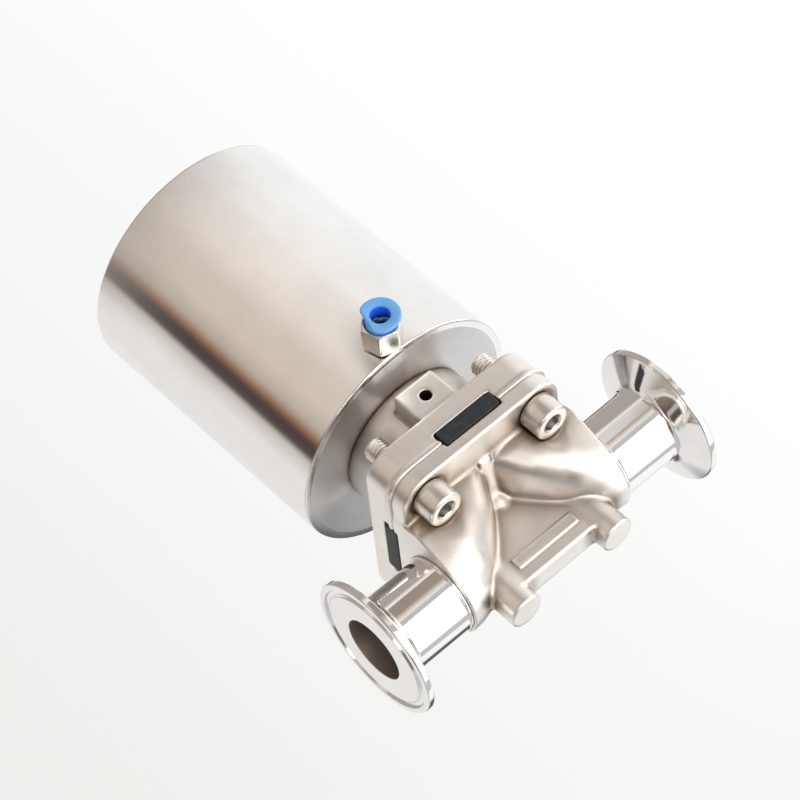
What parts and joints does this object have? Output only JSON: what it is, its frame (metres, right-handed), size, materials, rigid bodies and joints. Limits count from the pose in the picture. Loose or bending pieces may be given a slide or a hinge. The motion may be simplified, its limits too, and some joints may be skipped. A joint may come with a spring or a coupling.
{
  "type": "pneumatic diaphragm valve",
  "caption": "Weir-type sanitary diaphragm valve with clamp ferrules, bonnet and spring-return air actuator, as separate working pieces.",
  "frame": {"origin": "on the pipe axis, midway between the two ferrule faces and straight under the stem", "axes": "+X along the pipe towards the outlet ferrule, +Z along the stem towards the actuator, -Y towards the air port and the weep hole"},
  "size_m": [0.127, 0.1014, 0.1848],
  "materials": {
    "cast_steel": "blasted investment casting",
    "polished_steel": "mirror polished stainless steel",
    "satin_steel": "turned and satin finished stainless steel",
    "screw_steel": "plain stainless screw finish",
    "nickel": "nickel plated",
    "rubber": "matt black elastomer",
    "bearing": "filled bearing plastic",
    "blue_plastic": "moulded sky-blue plastic",
    "spring_steel": "drawn spring wire",
    "aluminium": "turned aluminium"
  },
  "bodies": {
    "valve": {"valve_body": "cast_steel", "inlet_ferrule": "polished_steel", "outlet_ferrule": "polished_steel", "diaphragm_rim": "rubber", "diaphragm_membrane": "rubber", "bonnet": "cast_steel", "body_screw_1": "screw_steel", "body_screw_2": "screw_steel", "body_screw_3": "screw_steel", "body_screw_4": "screw_steel", "actuator_base": "satin_steel", "base_seal": "rubber", "base_retaining_ring": "spring_steel", "spigot_nut": "screw_steel", "actuator_shell": "satin_steel", "breather_plug": "bearing", "rod_bush": "bearing", "rod_seal": "rubber", "rod_wiper": "rubber", "outer_spring": "spring_steel", "inner_spring": "spring_steel", "fitting_body": "nickel", "fitting_gasket": "rubber", "tube_seal": "rubber", "grip_ring": "spring_steel"},
    "stem_train": {"stem": "polished_steel", "piston": "aluminium", "piston_seal": "rubber", "piston_guide_ring": "bearing", "piston_washer": "screw_steel", "piston_nut": "screw_steel", "compressor": "satin_steel", "compressor_pin": "screw_steel", "diaphragm_stud": "screw_steel"},
    "collet": {"release_collet": "blue_plastic"}
  },
  "joints": [
    {"name": "stem_lift", "type": "slide", "parent": "valve", "child": "stem_train", "axis": [0, 0, 1], "range_m": [0, 0.006], "stiffness_N_per_m": 8000, "deforming": ["diaphragm_membrane", "outer_spring", "inner_spring"]},
    {"name": "collet_press", "type": "slide", "parent": "valve", "child": "collet", "axis": [0, 1, 0], "range_m": [0, 0.0015], "stiffness_N_per_m": 400}
  ]
}
